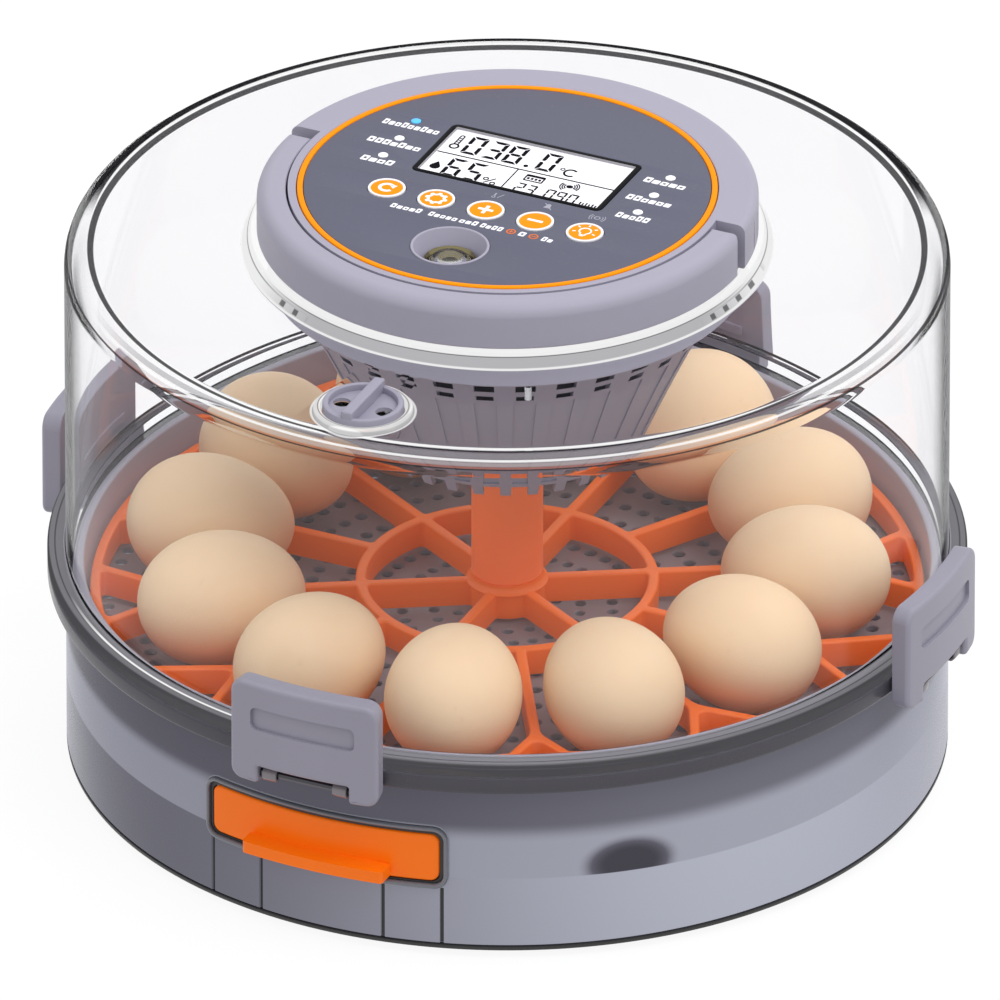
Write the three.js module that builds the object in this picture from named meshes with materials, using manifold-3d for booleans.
// Round countertop egg incubator: a drum base with a water tank, a perforated egg floor and a
// rotating egg grid, under a clear dome that carries the round control head.
// Millimetres, +Z up, front (water drawer) towards -Y.
// Origin: centre of the footprint, on the plane the feet stand on.
import * as THREE from "three";
import { mergeVertices } from "three/addons/utils/BufferGeometryUtils.js";
import Module from "manifold-3d";

const kernel = await Module();
kernel.setup();
const { Manifold, Mesh: SolidMesh } = kernel;

// ---------------------------------------------------------------- driving dimensions
const FINE = 48; // facets round the large circles
const MEDIUM = 36; // facets round the medium circles
const GAP = 0.3; // usual clearance between neighbouring pieces

// Base
const FOOT_H = 2;
const FOOT_ORBIT = 118;
const BASE_R = 144; // outside of the drum
const BASE_INNER_R = BASE_R - 3;
const COVER_TOP = FOOT_H + 2.2; // top of the bottom cover's visible edge
const SHELL_TOP = 68;
const RIM_R = 150; // rim ring and dome flange
const RIM_Z0 = 64;
const RIM_Z1 = 70;
const LINER_R = 137.6; // inside of the chamber liner
const LINER_OUTER_R = LINER_R + 2.4;
const LINER_TOP = 72;
const FLOOR_Z = 50; // top of the perforated egg floor
const FLOOR_Z0 = FLOOR_Z - 2;

// Water drawer and its surround
const DRAWER_DEG = 16.2; // half-angle of the front panel's place in the drum
const DRAWER_Z0 = 28;
const DRAWER_Z1 = 45;
const FRAME_MARGIN = 2.7; // surround above and below the drawer

// Clips
const CLIP_RI = 151.4;
const CLIP_RO = 158;
const CLIP_DEG = 10.5; // half-angle
const CLIP_Z0 = 60;
const CLIP_Z1 = 96.9;
const PIN_Y = -153.5; // front clip's pin
const PIN_Z = 63;
const PIN_BORE_R = 1.5;

// Egg grid and eggs
const CELLS = 12;
const CELL_PITCH = 360 / CELLS;
const GRID_Z0 = 52;
const GRID_Z1 = 61.5;
const GRID_R = 136;
const GRID_INNER_R = 49.5;
const COLUMN_R = 11.7;
const COLUMN_SPLIT = 64; // top of the grid's part of the column
const COLUMN_TOP = 122;
const EGG_D = 44.4;
const EGG_L = 55.5;
const EGG_ORBIT = 98.5;

// Dome and vent knob
const DOME_R = BASE_R;
const DOME_WALL = 2.5;
const DOME_Z0 = RIM_Z1 + 0.2;
const FLANGE_TOP = DOME_Z0 + 4.8;
const DOME_TOP = 185.5;
const DOME_FILLET = 8;
const COLLAR_R = 86.4; // raised collar round the control head
const COLLAR_BORE = 79;
const COLLAR_TOP = 190;
const KNOB_AT = [5.6, -122];
const KNOB_R = 13.2;
const VENT_PORT_X = 7.5; // each side of the knob's centre

// Control head
const HEAD_R = 81.6;
const HEAD_Z0 = COLLAR_TOP + GAP;
const HEAD_TOP = 206;
const SKIRT_R = 78.5;
const SKIRT_RI = 76;
const SKIRT_Z0 = 173;
const SHELF_TOP = 203.4; // inner ledge under the fascia
const SHELF_Z0 = 201.4;
const FASCIA_R = 66.2;
const FASCIA_Z0 = 203.8;
const ACCENT_R = 68.3;
const HANDLE_RI = 71.9;
const HANDLE_RO = 81.4;
const HANDLE_Z0 = 190.6;
const PIVOT_Z = 199;
const SOCKET_Z = 197;
const DECK_Z0 = 186.2;
const DECK_TOP = 188.2;
const BOARD_Z0 = 192.2;
const BOARD_TOP = 193.8;
const LCD_W = 67;
const LCD_H = 32.5;
const LCD_Y = 14.4;
const KEY_NAMES = ["key_cancel", "key_settings", "key_plus", "key_minus", "key_lamp"];
const KEY_PITCH = 17.7;
const KEY_X = KEY_NAMES.map((_, i) => (i - 2) * KEY_PITCH);
const KEY_Y = -17;
const KEY_R = 6.1;
const LED_X = 45.6;
const LED_Y = [28, 15.2, 2.7];
const CANDLER_Y = -44;
const CANDLER_R = 12.8;

// Air basket
const BASKET_TOP_R = 72.3;
const BASKET_TOP_Z = SKIRT_Z0 + 0.2;
const BASKET_RING_R = 75.5; // ring that fits in the head's skirt
const BASKET_RING_TOP = 178;
const BASKET_LOW_R = 45.2;
const BASKET_LOW_Z = 116.8;
const BASKET_WALL = 2.2;
const BASKET_SLOTS = 32;
const BASKET_TURN = 1.8; // degrees
const SPIDER_Z0 = 153.2;
const SPIDER_TOP = 155.2;

// ---------------------------------------------------------------- helpers
const radians = (degrees) => (degrees * Math.PI) / 180;

// X and Y of a point given by radius and degrees.
const polar = (radius, degrees) => [
  radius * Math.cos(radians(degrees)),
  radius * Math.sin(radians(degrees)),
];

// Range of the given half-width about a centre.
const span = (half, centre = 0) => [centre - half, centre + half];

// A closed geometry as a solid, turned right side out.
function solid(geometry) {
  const bare = geometry.index ? geometry.toNonIndexed() : geometry;
  const merged = mergeVertices(
    new THREE.BufferGeometry().setAttribute("position", bare.getAttribute("position")),
    1e-4,
  );
  const index = merged.index.array;
  const triangles = [];
  for (let i = 0; i < index.length; i += 3) {
    const [a, b, c] = index.subarray(i, i + 3);
    if (a !== b && b !== c && a !== c) triangles.push([a, b, c]);
  }
  const build = (faces) =>
    new Manifold(
      new SolidMesh({
        numProp: 3,
        vertProperties: new Float32Array(merged.getAttribute("position").array),
        triVerts: new Uint32Array(faces.flat()),
      }),
    );
  const built = build(triangles);
  return built.volume() >= 0 ? built : build(triangles.map(([a, b, c]) => [a, c, b]));
}

// Profile of [radius, z] points turned about the Z axis; closed unless it ends on the axis.
function lathe(profile, segments = FINE) {
  const points = profile.map(([radius, z]) => new THREE.Vector2(radius, z));
  if (profile[0][0] > 0 || profile.at(-1)[0] > 0) points.push(points[0].clone());
  return solid(new THREE.LatheGeometry(points, segments).rotateX(Math.PI / 2));
}

// Ring of rectangular section; a disc when the inner radius is 0.
function ring(inner, outer, z0, z1, segments = FINE) {
  return lathe([[inner, z0], [outer, z0], [outer, z1], [inner, z1]], segments);
}

// Outline of [x, y] points extruded between two heights.
function prism(points, z0, z1) {
  const shape = new THREE.Shape(points.map(([x, y]) => new THREE.Vector2(x, y)));
  return solid(
    new THREE.ExtrudeGeometry(shape, { depth: z1 - z0, bevelEnabled: false }).translate(0, 0, z0),
  );
}

function box([x0, x1], [y0, y1], [z0, z1]) {
  return solid(
    new THREE.BoxGeometry(x1 - x0, y1 - y0, z1 - z0).translate(
      (x0 + x1) / 2,
      (y0 + y1) / 2,
      (z0 + z1) / 2,
    ),
  );
}

function cylinderZ(radius, z0, z1, segments, [x, y] = [0, 0], topRadius = radius) {
  return solid(
    new THREE.CylinderGeometry(topRadius, radius, z1 - z0, segments)
      .rotateX(Math.PI / 2)
      .translate(x, y, (z0 + z1) / 2),
  );
}

function cylinderX(radius, x0, x1, y, z, segments) {
  return solid(
    new THREE.CylinderGeometry(radius, radius, x1 - x0, segments)
      .rotateZ(Math.PI / 2)
      .translate((x0 + x1) / 2, y, z),
  );
}

// Two cylinders along X, from |x| = near to |x| = far.
function cylinderPairX(radius, near, far, y, z, segments) {
  return cylinderX(radius, near, far, y, z, segments).add(
    cylinderX(radius, -far, -near, y, z, segments),
  );
}

function cylinderY(radius, y0, y1, z, segments) {
  return solid(
    new THREE.CylinderGeometry(radius, radius, y1 - y0, segments).translate(0, (y0 + y1) / 2, z),
  );
}

// Arc band centred on the -Y direction, with its half-width in degrees.
function arcBand(inner, outer, half, z0, z1, steps) {
  const arc = (radius) =>
    Array.from({ length: steps + 1 }, (_, i) =>
      polar(radius, -90 - half + (2 * half * i) / steps),
    );
  return prism([...arc(outer), ...arc(inner).reverse()], z0, z1);
}

// ---------------------------------------------------------------- materials
const material = (settings) => new THREE.MeshStandardMaterial(settings);
const GREY = material({ color: 0xb3b1c0, roughness: 0.45 });
const GREY_DARK = material({ color: 0x83808a, roughness: 0.5 });
const SMOKE = material({ color: 0x9a9cac, roughness: 0.18 });
const RIM = material({ color: 0x45434b, roughness: 0.2 });
const BLACK = material({ color: 0x17171a, roughness: 0.5 });
const RUBBER = material({ color: 0x222226, roughness: 0.9 });
const ORANGE = material({ color: 0xd2662f, roughness: 0.42 });
const ORANGE_BRIGHT = material({ color: 0xf07018, roughness: 0.35 });
const AMBER = material({ color: 0xfa9d10, roughness: 0.4 });
const FASCIA = material({ color: 0x6f7084, roughness: 0.5 });
const CLEAR = material({ color: 0xf4f6fa, roughness: 0.05, transparent: true, opacity: 0.2 });
const EGGSHELL = material({ color: 0xebd1b4, roughness: 0.55 });
const STEEL = material({ color: 0xb9bcc2, roughness: 0.3, metalness: 0.9 });
const SCREEN = material({ color: 0xf4f3f8, roughness: 0.25 });
const GLASS = material({ color: 0xd8d2b0, roughness: 0.05, metalness: 0.2 });
const PCB = material({ color: 0x2f6b46, roughness: 0.6 });

// ---------------------------------------------------------------- base
function bottomCover() {
  const raisedR = 138.5;
  const raisedTop = COVER_TOP + 1.2;
  return lathe([
    [0, FOOT_H],
    [BASE_R, FOOT_H],
    [BASE_R, COVER_TOP],
    [raisedR, COVER_TOP],
    [raisedR, raisedTop],
    [0, raisedTop],
  ]);
}

const foot = (degrees) => cylinderZ(8, 0, FOOT_H, 16, polar(FOOT_ORBIT, degrees), 9);

// Drum wall with the drawer opening, its surround and four grooves below it.
function baseShell() {
  const frameZ0 = DRAWER_Z0 - FRAME_MARGIN;
  const frameZ1 = DRAWER_Z1 + FRAME_MARGIN;
  const frame = arcBand(BASE_R - 2, BASE_R + 1.6, DRAWER_DEG + 0.95, frameZ0, frameZ1, 6);
  const opening = arcBand(
    BASE_R - 6, BASE_R + 14, DRAWER_DEG + 0.2, DRAWER_Z0 - 0.6, DRAWER_Z1 + 0.6, 1,
  );
  let shell = ring(BASE_INNER_R, BASE_R, COVER_TOP + GAP, SHELL_TOP).add(frame).subtract(opening);
  for (const degrees of [-16.5, -8.7, 8.7, 16.5]) {
    const groove = arcBand(BASE_R - 1.2, BASE_R + 4, 0.28, COVER_TOP, frameZ0, 1);
    shell = shell.subtract(groove.rotate([0, 0, degrees]));
  }
  return shell;
}

// Ring below the dome, with a pair of hinge lugs for each clip.
function rimRing() {
  const chamfer = 0.8;
  const lugW = 5;
  let rim = lathe([
    [BASE_R + GAP, RIM_Z0],
    [RIM_R - chamfer, RIM_Z0],
    [RIM_R, RIM_Z0 + chamfer],
    [RIM_R, RIM_Z1],
    [BASE_R + GAP, RIM_Z1],
  ]);
  for (let k = 0; k < 4; k++)
    for (const x of [-15, 10]) {
      const lug = box([x, x + lugW], [PIN_Y, -147.5], [PIN_Z - 1.2, PIN_Z + 2.4])
        .add(cylinderX(2.4, x, x + lugW, PIN_Y, PIN_Z, 10))
        .subtract(cylinderX(PIN_BORE_R, x - 1, x + lugW + 1, PIN_Y, PIN_Z, 8));
      rim = rim.add(lug.rotate([0, 0, 90 * k]));
    }
  return rim;
}

// Chamber wall, with a ledge under the egg floor and a flange over the drum wall.
function chamberLiner() {
  const ledgeR = LINER_R - 3;
  const ledgeTop = FLOOR_Z0 - GAP;
  const bottom = 45.4;
  return lathe([
    [ledgeR, bottom],
    [LINER_OUTER_R, bottom],
    [LINER_OUTER_R, SHELL_TOP + GAP],
    [BASE_R - 0.2, SHELL_TOP + GAP],
    [BASE_R - 0.2, RIM_Z1],
    [LINER_OUTER_R, RIM_Z1],
    [LINER_OUTER_R, LINER_TOP],
    [LINER_R, LINER_TOP],
    [LINER_R, ledgeTop],
    [ledgeR, ledgeTop],
  ]);
}

// Disc with three circles of air holes, and the pivot the grid turns on.
function eggFloor() {
  // [radius of the circle, number of holes]
  const holeCircles = [[68, 12], [98.4, 18], [119.6, 24]];
  const holes = holeCircles.flatMap(([radius, count]) =>
    Array.from({ length: count }, (_, i) =>
      cylinderZ(2.4, FLOOR_Z - 5, FLOOR_Z + 3, 6, polar(radius, ((i + 0.5) / count) * 360)),
    ),
  );
  return ring(0, LINER_R - 0.4, FLOOR_Z0, FLOOR_Z)
    .subtract(Manifold.union(holes))
    .add(cylinderZ(4, FLOOR_Z - 1, 58.4, 12));
}

// Shallow round tank with a lower ring wall inside it.
function waterTank() {
  const bottom = 5.7;
  const inside = 7.7;
  const rim = 25.5;
  const innerWallTop = 20;
  return lathe(
    [
      [0, bottom], [136, bottom],
      [136, rim], [134, rim],
      [134, inside], [92, inside],
      [92, innerWallTop], [90, innerWallTop],
      [90, inside], [0, inside],
    ],
    MEDIUM,
  );
}

// Region that rounds the front of the sleeve and tray to a radius inside the drum.
const roundFront = (radius) => arcBand(50, radius, 40, 20, 60, 30);

// Sleeve behind the drawer opening, with a gap in its floor near the inner end.
function drawerSleeve() {
  return box(span(38.6), [-141, -86], [25.8, 45.1])
    .intersect(roundFront(BASE_INNER_R - GAP))
    .subtract(box(span(36.6), [-150, -88], [27.4, 43.9]))
    .subtract(box(span(20), [-110, -92], [20, 30]));
}

// ---------------------------------------------------------------- water drawer
// Open tray with a drain at its inner end, a curved front panel and a scooped pull lip.
function waterDrawer() {
  const tray = box(span(36), [-142.5, -90], [28.2, 43.5])
    .intersect(roundFront(BASE_R - 1))
    .subtract(box(span(34), [-138, -92], [30, 50]))
    .subtract(cylinderZ(4, 20, 40, 12, [0, -98]));
  const panel = arcBand(BASE_R - 2.8, BASE_R + 0.8, DRAWER_DEG - 0.1, DRAWER_Z0, DRAWER_Z1, 8);

  const lipHalf = 25;
  const lipReach = 8; // beyond the drum at the middle
  const lipCurve = 420; // larger is flatter
  const lipBackY = -140;
  const steps = 6;
  const frontEdge = Array.from({ length: steps + 1 }, (_, i) => {
    const x = -lipHalf + (2 * lipHalf * i) / steps;
    return [x, -(BASE_R + lipReach - (x * x) / lipCurve)];
  });
  const lip = prism([...frontEdge, [lipHalf, lipBackY], [-lipHalf, lipBackY]], 29, 33);

  const narrowing = 0.93;
  const lipWall = 1.5;
  const scoopHalf = lipHalf * narrowing;
  const scoopBackY = -146.2;
  const scoop = prism(
    [
      ...frontEdge.map(([x, y]) => [x * narrowing, y + lipWall]),
      [scoopHalf, scoopBackY],
      [-scoopHalf, scoopBackY],
    ],
    31.8,
    36,
  );
  return tray.add(panel).add(lip).subtract(scoop);
}

// ---------------------------------------------------------------- clips
// Rounded rectangle in X and Z, extruded along Y.
function roundedPlate([x0, x1], [y0, y1], [z0, z1], radius) {
  const shape = new THREE.Shape();
  shape.moveTo(x0 + radius, z0);
  shape.lineTo(x1 - radius, z0);
  shape.absarc(x1 - radius, z0 + radius, radius, -Math.PI / 2, 0, false);
  shape.lineTo(x1, z1 - radius);
  shape.absarc(x1 - radius, z1 - radius, radius, 0, Math.PI / 2, false);
  shape.lineTo(x0 + radius, z1);
  shape.absarc(x0 + radius, z1 - radius, radius, Math.PI / 2, Math.PI, false);
  shape.lineTo(x0, z0 + radius);
  shape.absarc(x0 + radius, z0 + radius, radius, Math.PI, 1.5 * Math.PI, false);
  return solid(
    new THREE.ExtrudeGeometry(shape, { depth: y1 - y0, bevelEnabled: false, curveSegments: 2 })
      .rotateX(Math.PI / 2)
      .translate(0, y1, 0),
  );
}

// Front clip: a curved plate hinged on its pin.
function clip() {
  const depth = [-160, -140];
  const plate = arcBand(CLIP_RI, CLIP_RO, CLIP_DEG, CLIP_Z0, CLIP_Z1, 6).intersect(
    roundedPlate(span(26.3), depth, [CLIP_Z0, CLIP_Z1], 3.5),
  );
  const lugGap = box(span(16.2), depth, [CLIP_Z0 - 5, CLIP_Z0 + 6.2]);
  const fingerRecess = arcBand(CLIP_RO - 1.2, CLIP_RO + 2, 7, 80, 88.3, 6);
  const catchBar = arcBand(RIM_R + 0.5, CLIP_RI + 0.5, 7, FLANGE_TOP + 0.8, 79, 4);
  return plate
    .subtract(lugGap)
    .subtract(fingerRecess)
    .add(catchBar)
    .subtract(cylinderPairX(PIN_BORE_R, 15, 30, PIN_Y, PIN_Z, 8));
}

const clipPin = () => cylinderX(1.2, -23.5, 23.5, PIN_Y, PIN_Z, 8);

// ---------------------------------------------------------------- egg grid and eggs
// Straight bar of the grid's height between two [x, y] points.
function gridBar([x0, y0], [x1, y1], width) {
  const length = Math.hypot(x1 - x0, y1 - y0);
  const sideX = (-(y1 - y0) / length) * (width / 2);
  const sideY = ((x1 - x0) / length) * (width / 2);
  return prism(
    [
      [x0 - sideX, y0 - sideY],
      [x1 - sideX, y1 - sideY],
      [x1 + sideX, y1 + sideY],
      [x0 + sideX, y0 + sideY],
    ],
    GRID_Z0,
    GRID_Z1,
  );
}

// Two rings joined by forked dividers, round the lower part of the drive column.
function eggGrid() {
  const ringWall = 3.5;
  const barW = 3.4;
  const forkR = 106; // where each divider forks
  const forkDeg = 8;
  const hubEndR = GRID_INNER_R - 2; // bars end inside the inner ring
  const parts = [
    ring(GRID_R - ringWall, GRID_R, GRID_Z0, GRID_Z1, MEDIUM),
    ring(GRID_INNER_R - ringWall, GRID_INNER_R, GRID_Z0, GRID_Z1, 24),
    cylinderZ(COLUMN_R, GRID_Z0, COLUMN_SPLIT, 24),
  ];
  for (let k = 0; k < CELLS; k++) {
    const degrees = CELL_PITCH * k + 90;
    parts.push(gridBar(polar(hubEndR, degrees), polar(forkR + 1, degrees), barW));
    for (const side of [-1, 1]) {
      const tip = polar(GRID_R - 2, degrees + side * forkDeg);
      parts.push(gridBar(polar(forkR, degrees), tip, barW - 0.2));
    }
    // Every second divider carries on to the column.
    if (k % 2 === 0)
      parts.push(gridBar(polar(COLUMN_R - 3, degrees), polar(hubEndR, degrees), barW));
  }
  return Manifold.union(parts).subtract(cylinderZ(4.5, GRID_Z0 - 2, 60, 16));
}

// Upper part of the column, with a hexagonal socket in its top.
function driveColumn() {
  return cylinderZ(COLUMN_R, COLUMN_SPLIT + GAP, COLUMN_TOP, 24).subtract(
    cylinderZ(4.6, COLUMN_TOP - 14, COLUMN_TOP + 2, 6),
  );
}

// Egg lying along a radius, blunt end outwards.
function egg(degrees) {
  const steps = 7;
  const taper = 0.08;
  const widest = 1.003; // keeps the tapered egg's greatest width at EGG_D
  const profile = [];
  for (let i = 0; i <= steps; i++) {
    const angle = (i / steps) * Math.PI;
    const along = -Math.cos(angle); // -1 pointed .. 1 blunt
    const radius = ((EGG_D / 2) * Math.sin(angle) * (1 + taper * along)) / widest;
    const atEnd = i === 0 || i === steps;
    profile.push(new THREE.Vector2(atEnd ? 0 : radius, (EGG_L / 2) * along));
  }
  return solid(
    new THREE.LatheGeometry(profile, 12)
      .rotateZ(-Math.PI / 2) // axis along +X
      .translate(EGG_ORBIT, 0, FLOOR_Z + EGG_D / 2 + 0.25)
      .rotateZ(radians(degrees)),
  );
}

// ---------------------------------------------------------------- dome and vent
// The two air holes each side of the knob's centre.
function ventPorts(radius, top, segments = 8) {
  const [x, y] = KNOB_AT;
  return Manifold.union(
    span(VENT_PORT_X, x).map((portX) => cylinderZ(radius, 175, top, segments, [portX, y])),
  );
}

function dome() {
  const fillet = (radius, steps) =>
    Array.from({ length: steps + 1 }, (_, i) => {
      const [x, z] = polar(radius, (i / steps) * 90);
      return [DOME_R - DOME_FILLET + x, DOME_TOP - DOME_FILLET + z];
    });
  const body = lathe([
    [DOME_R - DOME_WALL, DOME_Z0],
    [RIM_R, DOME_Z0],
    [RIM_R, FLANGE_TOP],
    [DOME_R, FLANGE_TOP],
    ...fillet(DOME_FILLET, 3),
    [COLLAR_R, DOME_TOP],
    [84.9, 187.6],
    [83.4, COLLAR_TOP],
    [COLLAR_BORE, COLLAR_TOP],
    [COLLAR_BORE, DOME_TOP - DOME_WALL],
    ...fillet(DOME_FILLET - DOME_WALL, 1).reverse(),
  ]);
  const knobSeat = cylinderZ(16.2, DOME_TOP - 1.3, DOME_TOP + 2, 24, KNOB_AT).subtract(
    cylinderZ(KNOB_R + 0.5, DOME_TOP - 1.4, DOME_TOP + 5, 24, KNOB_AT),
  );
  const stemBore = cylinderZ(2.4, 175, 200, 12, KNOB_AT);
  return body.add(knobSeat).subtract(stemBore).subtract(ventPorts(3, DOME_TOP + 1));
}

// Ring, web with two ports, grip bar and stem.
function ventKnob() {
  const [x, y] = KNOB_AT;
  return cylinderZ(KNOB_R, DOME_TOP + GAP, DOME_TOP + 3.7, 24, KNOB_AT)
    .subtract(cylinderZ(11.2, DOME_TOP + 1.5, DOME_TOP + 8, 24, KNOB_AT))
    .add(box(span(1.9, x), span(13, y), [DOME_TOP + 1.3, DOME_TOP + 6]))
    .subtract(ventPorts(2.9, 200))
    .add(cylinderZ(2.1, DOME_TOP - 5, DOME_TOP + 1, 12, KNOB_AT));
}

// ---------------------------------------------------------------- control head
function headHousing() {
  const boreR = ACCENT_R + 0.3;
  const lowerZ = 188.6; // underside of the wall between skirt and bore
  const body = lathe(
    [
      [SKIRT_RI, SKIRT_Z0],
      [SKIRT_R, SKIRT_Z0],
      [SKIRT_R, HEAD_Z0],
      [HEAD_R, HEAD_Z0],
      [HEAD_R, 203.4],
      [80.6, 205.2],
      [78.8, HEAD_TOP],
      [boreR, HEAD_TOP],
      [boreR, SHELF_TOP],
      [61, SHELF_TOP],
      [61, SHELF_Z0],
      [boreR, SHELF_Z0],
      [boreR, lowerZ],
      [SKIRT_RI, lowerZ],
    ],
    MEDIUM,
  );
  // Front recess where the carry handle lies.
  const recess = ring(71.3, 90, HANDLE_Z0 - 0.4, 215, MEDIUM).subtract(
    box(span(100), [8.1, 100], [180, 220]),
  );
  return body
    .subtract(recess)
    .subtract(cylinderPairX(3.3, 66, 73, 0, PIVOT_Z, 12))
    .subtract(cylinderY(5, 70, 90, SOCKET_Z, 12));
}

// Deck that closes the head from below, with three posts under the board.
function innerDeck() {
  const posts = [30, 150, 270].map((degrees) =>
    cylinderZ(3, DECK_TOP - 0.2, BOARD_Z0 - GAP, 8, polar(40, degrees)),
  );
  return ring(14.3, 75.6, DECK_Z0, DECK_TOP, 24).add(Manifold.union(posts));
}

// Half ring with a chamfered flat end past each pivot, and a stub pin on each end.
function handle() {
  const fullRing = lathe(
    [
      [HANDLE_RI, HANDLE_Z0],
      [HANDLE_RO, HANDLE_Z0],
      [HANDLE_RO, 202.2],
      [80, 204.8],
      [77.4, HEAD_TOP],
      [HANDLE_RI, HEAD_TOP],
    ],
    MEDIUM,
  );
  const chamfer = 2.2;
  const endY = 4.2;
  const reach = 100; // past the ring in X and -Y
  const below = HANDLE_Z0 - 5;
  const above = HEAD_TOP + 5;
  // Side view of the part to keep: [y, z]
  const sideView = [
    [-reach, below],
    [endY - chamfer, below],
    [endY - chamfer, HANDLE_Z0],
    [endY, HANDLE_Z0 + chamfer],
    [endY, HEAD_TOP - chamfer],
    [endY - chamfer, HEAD_TOP],
    [endY - chamfer, above],
    [-reach, above],
  ];
  const shape = new THREE.Shape(sideView.map(([y, z]) => new THREE.Vector2(y, z)));
  const keep = solid(
    new THREE.ExtrudeGeometry(shape, { depth: 2 * reach, bevelEnabled: false })
      .rotateY(Math.PI / 2)
      .rotateX(Math.PI / 2)
      .translate(-reach, 0, 0),
  );
  return fullRing.intersect(keep).add(cylinderPairX(3, 69, 73, 0, PIVOT_Z, 12));
}

// Cone under the head: slots round the top, castellated lower edge, three-armed motor spider.
function airBasket() {
  const ringRI = BASKET_RING_R - BASKET_WALL;
  const cone = lathe(
    [
      [BASKET_LOW_R, BASKET_LOW_Z],
      [BASKET_TOP_R, BASKET_TOP_Z],
      [BASKET_RING_R, BASKET_TOP_Z + 1],
      [BASKET_RING_R, BASKET_RING_TOP],
      [ringRI, BASKET_RING_TOP],
      [ringRI, BASKET_TOP_Z + 2.4],
      [BASKET_TOP_R - BASKET_WALL, BASKET_TOP_Z + 0.8],
      [BASKET_LOW_R - BASKET_WALL, BASKET_LOW_Z],
    ],
    BASKET_SLOTS,
  );
  const slotPitch = 360 / BASKET_SLOTS;
  const cuts = [];
  for (let k = 0; k < BASKET_SLOTS; k++) {
    const turn = [0, 0, (k + 0.5) * slotPitch];
    const notchZ = [BASKET_LOW_Z - 2, BASKET_LOW_Z + 4.2];
    cuts.push(box([60, 74], span(3.4), [165.6, 171.8]).rotate(turn));
    cuts.push(box([36, 50], span(2.7), notchZ).rotate(turn));
  }
  const slope = (BASKET_TOP_R - BASKET_LOW_R) / (BASKET_TOP_Z - BASKET_LOW_Z);
  const armEndR = BASKET_LOW_R - 1 + slope * (154 - BASKET_LOW_Z);
  const spider = [cylinderZ(12, SPIDER_Z0, SPIDER_TOP, 16)];
  for (let k = 0; k < 3; k++) {
    const turn = [0, 0, 120 * k + 30 + slotPitch / 2];
    const heaterPost = box([42.5, 47.5], span(3), [154, 158.7]);
    spider.push(box([6, armEndR], span(4), [SPIDER_Z0, SPIDER_TOP]).rotate(turn));
    spider.push(heaterPost.rotate(turn));
  }
  return cone
    .subtract(Manifold.union(cuts))
    .add(Manifold.union(spider))
    .rotate([0, 0, BASKET_TURN]);
}

// Disc with the screen window, key holes, lamp holes and candling opening.
function controlFascia() {
  const cutZ = [200, 210];
  const cuts = [
    box(span(LCD_W / 2 + 0.2), span(LCD_H / 2 + 0.2, LCD_Y), cutZ),
    cylinderZ(CANDLER_R + 0.2, ...cutZ, 20, [0, CANDLER_Y]),
    ...KEY_X.map((x) => cylinderZ(KEY_R + 0.25, ...cutZ, 16, [x, KEY_Y])),
  ];
  for (const x of [-LED_X, LED_X])
    for (const y of LED_Y) cuts.push(cylinderZ(1.6, ...cutZ, 8, [x, y]));
  return cylinderZ(FASCIA_R, FASCIA_Z0, HEAD_TOP, MEDIUM).subtract(Manifold.union(cuts));
}

const accentRing = () => ring(FASCIA_R + 0.2, ACCENT_R, FASCIA_Z0, HEAD_TOP + 0.2, MEDIUM);

const lcdModule = () =>
  box(span(LCD_W / 2), span(LCD_H / 2, LCD_Y), [BOARD_TOP + GAP, HEAD_TOP - 0.1]);

// Cap, the collar that keeps it under the fascia, and the stem below.
function key(x) {
  return cylinderZ(KEY_R, 202, HEAD_TOP + 0.3, 16, [x, KEY_Y])
    .add(cylinderZ(7.4, 201.6, 203.2, 12, [x, KEY_Y]))
    .add(cylinderZ(2, 195, 202.6, 6, [x, KEY_Y]));
}

// Block with one pin up to each lamp hole.
function lightPipe(x) {
  const pins = LED_Y.map((y) => cylinderZ(1.45, 202.5, HEAD_TOP, 8, [x, y]));
  return box(span(2.5, x), [-2, 32], [BOARD_TOP + GAP, 203]).add(Manifold.union(pins));
}

function candlerCup() {
  const profile = [
    [6.6, 196],
    [9.4, 196],
    [CANDLER_R, HEAD_TOP],
    [CANDLER_R - 1.3, HEAD_TOP],
    [8.2, 197.2],
    [6.6, 197.2],
  ];
  return lathe(profile, 20).translate([0, CANDLER_Y, 0]);
}

function candlerLens() {
  const profile = [[0, 197.5], [7.6, 197.5], [6.9, 199.2], [4.6, 200.9], [0, 201.6]];
  return lathe(profile, 16).translate([0, CANDLER_Y, 0]);
}

// Round board; the candling lamp stands on a bridge across its cut-out.
function circuitBoard() {
  const candler = [0, CANDLER_Y];
  return cylinderZ(59, BOARD_Z0, BOARD_TOP, 24)
    .subtract(cylinderZ(12, 190, 196, 12, candler))
    .subtract(cylinderZ(4, 190, 196, 8))
    .add(box(span(14), span(3, CANDLER_Y), [BOARD_Z0, BOARD_TOP]))
    .add(cylinderZ(4.6, 193, 195.6, 10, candler));
}

const powerSocket = () =>
  cylinderY(4.6, 72.5, 81.2, SOCKET_Z, 12).subtract(cylinderY(2.8, 75, 83, SOCKET_Z, 10));

const sensorProbe = () => cylinderZ(1.2, 168, SKIRT_Z0 - 0.2, 8, polar(77.2, -60));

// ---------------------------------------------------------------- fan, heater and drive
const fanMotor = () => cylinderZ(14, 169.5, 189.2, 16).add(cylinderZ(1.5, 163, 170, 8));

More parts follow.
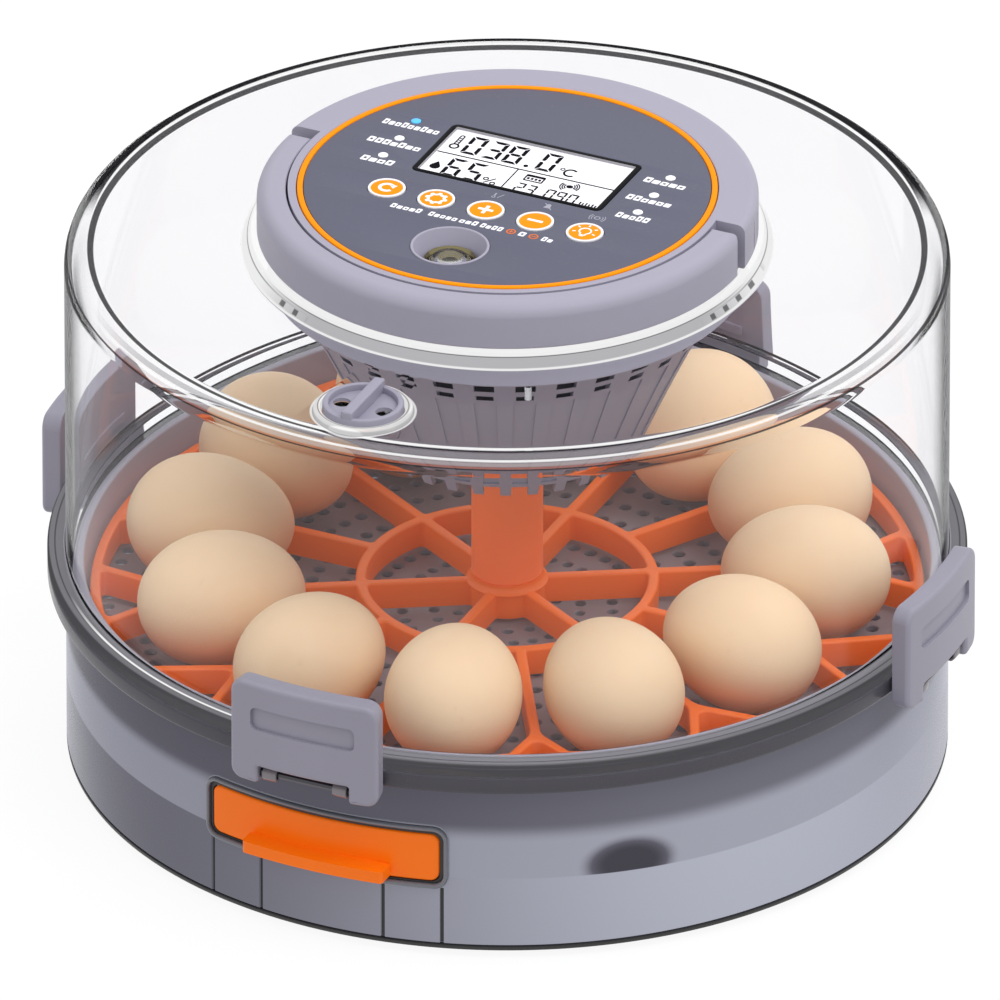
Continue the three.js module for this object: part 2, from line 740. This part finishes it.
function fanImpeller() {
  const bladeCount = 7;
  const pitchDeg = 35;
  const hub = cylinderZ(9, 158.5, 168.8, 12).subtract(cylinderZ(1.8, 162, 172, 8));
  const blades = Array.from({ length: bladeCount }, (_, k) =>
    solid(
      new THREE.BoxGeometry(26, 1.6, 8)
        .rotateX(radians(pitchDeg))
        .translate(20, 0, 163)
        .rotateZ((k * 2 * Math.PI) / bladeCount),
    ),
  );
  return hub.add(Manifold.union(blades).subtract(cylinderZ(8, 150, 180, 12)));
}

// Ring of hexagonal section.
const heaterRing = () =>
  lathe([[43, 159], [47, 159], [48.5, 161.5], [47, 164], [43, 164], [41.5, 161.5]], 20);

const turnerMotor = () => cylinderZ(19, 131, 152.9, 20).add(cylinderZ(2.5, 125, 132, 8));

// Hexagonal key for the column's socket, under a round boss bored for the motor shaft.
function driveCoupler() {
  return cylinderZ(4, 110, 126, 6)
    .add(cylinderZ(9, COLUMN_TOP + 0.02, 130.6, 12))
    .subtract(cylinderZ(2.8, 124.5, 134, 8));
}

// ---------------------------------------------------------------- assembly
const group = new THREE.Group();
group.name = "egg_incubator";

function add(name, body, surface) {
  const { vertProperties, triVerts } = body.getMesh();
  const geometry = new THREE.BufferGeometry()
    .setAttribute("position", new THREE.BufferAttribute(new Float32Array(vertProperties), 3))
    .setIndex(new THREE.BufferAttribute(new Uint32Array(triVerts), 1));
  geometry.computeVertexNormals();
  const mesh = new THREE.Mesh(geometry, surface);
  mesh.name = name;
  group.add(mesh);
}

add("bottom_cover", bottomCover(), BLACK);
for (let k = 0; k < 4; k++) add(`foot_${k + 1}`, foot(45 + 90 * k), RUBBER);
add("base_shell", baseShell(), SMOKE);
add("rim_ring", rimRing(), RIM);
add("chamber_liner", chamberLiner(), GREY_DARK);
add("egg_floor", eggFloor(), GREY_DARK);
add("water_tank", waterTank(), GREY_DARK);
add("drawer_sleeve", drawerSleeve(), GREY_DARK);
add("water_drawer", waterDrawer(), ORANGE_BRIGHT);
["front", "right", "back", "left"].forEach((side, k) => {
  const turn = [0, 0, 90 * k];
  add(`clip_${side}`, clip().rotate(turn), GREY);
  add(`clip_pin_${side}`, clipPin().rotate(turn), STEEL);
});
add("egg_grid", eggGrid(), ORANGE);
add("drive_column", driveColumn(), ORANGE);
for (let k = 0; k < CELLS; k++) {
  const number = String(k + 1).padStart(2, "0");
  add(`egg_${number}`, egg(270 + (k + 0.5) * CELL_PITCH), EGGSHELL);
}
add("dome", dome(), CLEAR);
add("vent_knob", ventKnob(), GREY);
add("head_housing", headHousing(), GREY);
add("inner_deck", innerDeck(), GREY_DARK);
add("handle", handle(), GREY);
add("air_basket", airBasket(), GREY_DARK);
add("control_fascia", controlFascia(), FASCIA);
add("accent_ring", accentRing(), AMBER);
add("lcd_module", lcdModule(), SCREEN);
KEY_NAMES.forEach((name, i) => add(name, key(KEY_X[i]), AMBER));
add("light_pipe_left", lightPipe(-LED_X), SCREEN);
add("light_pipe_right", lightPipe(LED_X), SCREEN);
add("candler_cup", candlerCup(), GREY);
add("candler_lens", candlerLens(), GLASS);
add("circuit_board", circuitBoard(), PCB);
add("fan_motor", fanMotor(), BLACK);
add("fan_impeller", fanImpeller(), BLACK);
add("heater_ring", heaterRing(), STEEL);
add("turner_motor", turnerMotor(), STEEL);
add("drive_coupler", driveCoupler(), BLACK);
add("sensor_probe", sensorProbe(), STEEL);
add("power_socket", powerSocket(), BLACK);

export default group;
